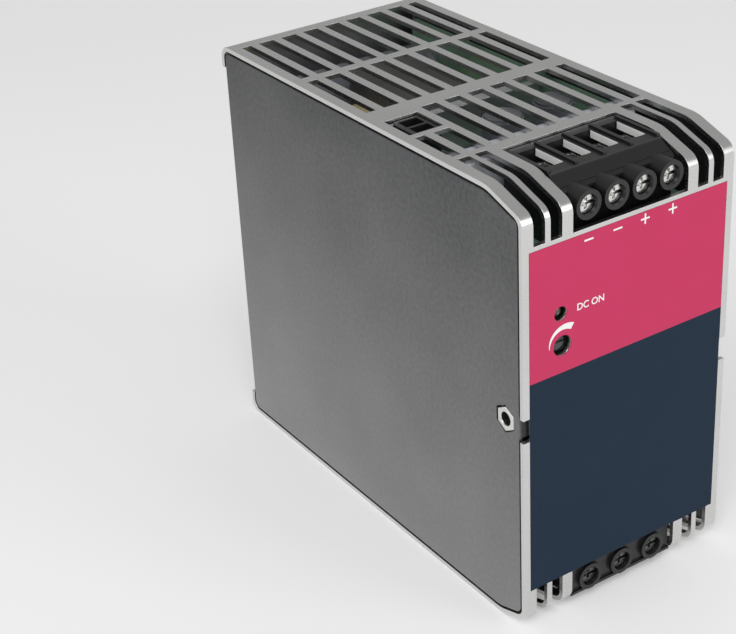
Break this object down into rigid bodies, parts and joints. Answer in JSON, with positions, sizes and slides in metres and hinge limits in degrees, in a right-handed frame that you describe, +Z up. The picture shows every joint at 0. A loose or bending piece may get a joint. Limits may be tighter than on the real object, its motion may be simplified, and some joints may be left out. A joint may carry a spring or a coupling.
{
  "type": "din rail power supply",
  "caption": "Slim metal-cased power supply for a 35 mm rail: ventilated wrap-round cover, two-colour front label, screw terminals above and below, spring latch behind.",
  "frame": {"origin": "middle of the overall footprint, on the underside of the case", "axes": "+Z up as mounted, front label facing -Y, rail foot facing +Y, X across the case"},
  "size_m": [0.06, 0.132, 0.11],
  "materials": {
    "cover_metal": "satin nickel-coloured coating, bright rim",
    "panel_metal": "dark grey anodised sheet, matt",
    "plated_steel": "zinc-plated sheet",
    "bright_steel": "bright nickel plating",
    "spring_steel": "spring steel",
    "label_film": "printed film, two colour fields",
    "terminal_plastic": "black glass-filled nylon",
    "contact_brass": "tinned brass",
    "board_laminate": "solder-masked glass laminate",
    "ferrite": "pressed ferrite",
    "coil_tape": "polyester winding tape",
    "copper_wire": "enamelled copper",
    "capacitor_sleeve": "shrink sleeve over an aluminium can",
    "package_epoxy": "moulded epoxy",
    "sink_aluminium": "bare extruded sheet",
    "pale_plastic": "pale moulded plastic",
    "led_lens": "tinted lens",
    "fuse_glass": "clear tube with metal caps"
  },
  "bodies": {
    "housing": {"front_cover": "cover_metal", "top_grille": "cover_metal", "bottom_grille": "cover_metal", "left_side_panel": "panel_metal", "right_side_panel": "panel_metal", "left_clinch_nut": "bright_steel", "right_clinch_nut": "bright_steel", "rear_plate": "plated_steel", "din_foot": "plated_steel", "front_label": "label_film", "output_terminal_body": "terminal_plastic", "input_terminal_body": "terminal_plastic", "signal_socket": "terminal_plastic", "output_contact_1": "contact_brass", "output_contact_2": "contact_brass", "output_contact_3": "contact_brass", "output_contact_4": "contact_brass", "input_contact_1": "contact_brass", "input_contact_2": "contact_brass", "input_contact_3": "contact_brass", "status_led": "led_lens", "trimmer_body": "package_epoxy", "control_board": "board_laminate", "main_board": "board_laminate", "output_board": "board_laminate", "input_board": "board_laminate", "terminal_shroud": "pale_plastic", "transformer_core": "ferrite", "choke_core": "ferrite", "transformer_coil": "coil_tape", "choke_coil": "copper_wire", "filter_choke": "copper_wire", "bulk_capacitor_1": "capacitor_sleeve", "bulk_capacitor_2": "capacitor_sleeve", "output_capacitor_1": "capacitor_sleeve", "output_capacitor_2": "capacitor_sleeve", "output_heat_sink": "sink_aluminium", "input_heat_sink": "sink_aluminium", "power_transistor": "package_epoxy", "output_rectifier": "package_epoxy", "line_fuse": "fuse_glass", "latch_spring": "spring_steel", "foot_screw_1": "bright_steel", "foot_screw_2": "bright_steel"},
    "output_screw_1": {"output_screw_1": "bright_steel"},
    "output_cage_1": {"output_cage_1": "bright_steel"},
    "output_screw_2": {"output_screw_2": "bright_steel"},
    "output_cage_2": {"output_cage_2": "bright_steel"},
    "output_screw_3": {"output_screw_3": "bright_steel"},
    "output_cage_3": {"output_cage_3": "bright_steel"},
    "output_screw_4": {"output_screw_4": "bright_steel"},
    "output_cage_4": {"output_cage_4": "bright_steel"},
    "input_screw_1": {"input_screw_1": "bright_steel"},
    "input_cage_1": {"input_cage_1": "bright_steel"},
    "input_screw_2": {"input_screw_2": "bright_steel"},
    "input_cage_2": {"input_cage_2": "bright_steel"},
    "input_screw_3": {"input_screw_3": "bright_steel"},
    "input_cage_3": {"input_cage_3": "bright_steel"},
    "trimmer_rotor": {"trimmer_rotor": "pale_plastic"},
    "din_latch": {"din_latch": "spring_steel"}
  },
  "joints": [
    {"name": "output_screw_1_turn", "type": "hinge", "parent": "housing", "child": "output_screw_1", "pos_m": [-0.0117, -0.064, 0.1039], "axis": [0, 1, 0], "range_deg": [0, 2592]},
    {"name": "output_cage_1_rise", "type": "slide", "parent": "housing", "child": "output_cage_1", "axis": [0, -1, 0], "range_m": [0, 0.0036]},
    {"name": "output_screw_2_turn", "type": "hinge", "parent": "housing", "child": "output_screw_2", "pos_m": [-0.0039, -0.064, 0.1039], "axis": [0, 1, 0], "range_deg": [0, 2592]},
    {"name": "output_cage_2_rise", "type": "slide", "parent": "housing", "child": "output_cage_2", "axis": [0, -1, 0], "range_m": [0, 0.0036]},
    {"name": "output_screw_3_turn", "type": "hinge", "parent": "housing", "child": "output_screw_3", "pos_m": [0.0039, -0.064, 0.1039], "axis": [0, 1, 0], "range_deg": [0, 2592]},
    {"name": "output_cage_3_rise", "type": "slide", "parent": "housing", "child": "output_cage_3", "axis": [0, -1, 0], "range_m": [0, 0.0036]},
    {"name": "output_screw_4_turn", "type": "hinge", "parent": "housing", "child": "output_screw_4", "pos_m": [0.0117, -0.064, 0.1039], "axis": [0, 1, 0], "range_deg": [0, 2592]},
    {"name": "output_cage_4_rise", "type": "slide", "parent": "housing", "child": "output_cage_4", "axis": [0, -1, 0], "range_m": [0, 0.0036]},
    {"name": "input_screw_1_turn", "type": "hinge", "parent": "housing", "child": "input_screw_1", "pos_m": [0.0097, -0.064, 0.0061], "axis": [0, 1, 0], "range_deg": [0, 2592]},
    {"name": "input_cage_1_rise", "type": "slide", "parent": "housing", "child": "input_cage_1", "axis": [0, -1, 0], "range_m": [0, 0.0036]},
    {"name": "input_screw_2_turn", "type": "hinge", "parent": "housing", "child": "input_screw_2", "pos_m": [0, -0.064, 0.0061], "axis": [0, 1, 0], "range_deg": [0, 2592]},
    {"name": "input_cage_2_rise", "type": "slide", "parent": "housing", "child": "input_cage_2", "axis": [0, -1, 0], "range_m": [0, 0.0036]},
    {"name": "input_screw_3_turn", "type": "hinge", "parent": "housing", "child": "input_screw_3", "pos_m": [-0.0097, -0.064, 0.0061], "axis": [0, 1, 0], "range_deg": [0, 2592]},
    {"name": "input_cage_3_rise", "type": "slide", "parent": "housing", "child": "input_cage_3", "axis": [0, -1, 0], "range_m": [0, 0.0036]},
    {"name": "trimmer_turn", "type": "hinge", "parent": "housing", "child": "trimmer_rotor", "pos_m": [-0.0191, -0.063, 0.0726], "axis": [0, 1, 0], "range_deg": [-130, 130]},
    {"name": "latch_slide", "type": "slide", "parent": "housing", "child": "din_latch", "axis": [0, 0, -1], "range_m": [0, 0.0045], "stiffness_N_per_m": 900, "springref_m": -0.004, "deforming": ["latch_spring"]}
  ],
  "couplings": [
    {"joint": "output_screw_1_turn", "follows": "output_cage_1_rise", "rad_per_m": 12566},
    {"joint": "output_screw_2_turn", "follows": "output_cage_2_rise", "rad_per_m": 12566},
    {"joint": "output_screw_3_turn", "follows": "output_cage_3_rise", "rad_per_m": 12566},
    {"joint": "output_screw_4_turn", "follows": "output_cage_4_rise", "rad_per_m": 12566},
    {"joint": "input_screw_1_turn", "follows": "input_cage_1_rise", "rad_per_m": 12566},
    {"joint": "input_screw_2_turn", "follows": "input_cage_2_rise", "rad_per_m": 12566},
    {"joint": "input_screw_3_turn", "follows": "input_cage_3_rise", "rad_per_m": 12566}
  ]
}
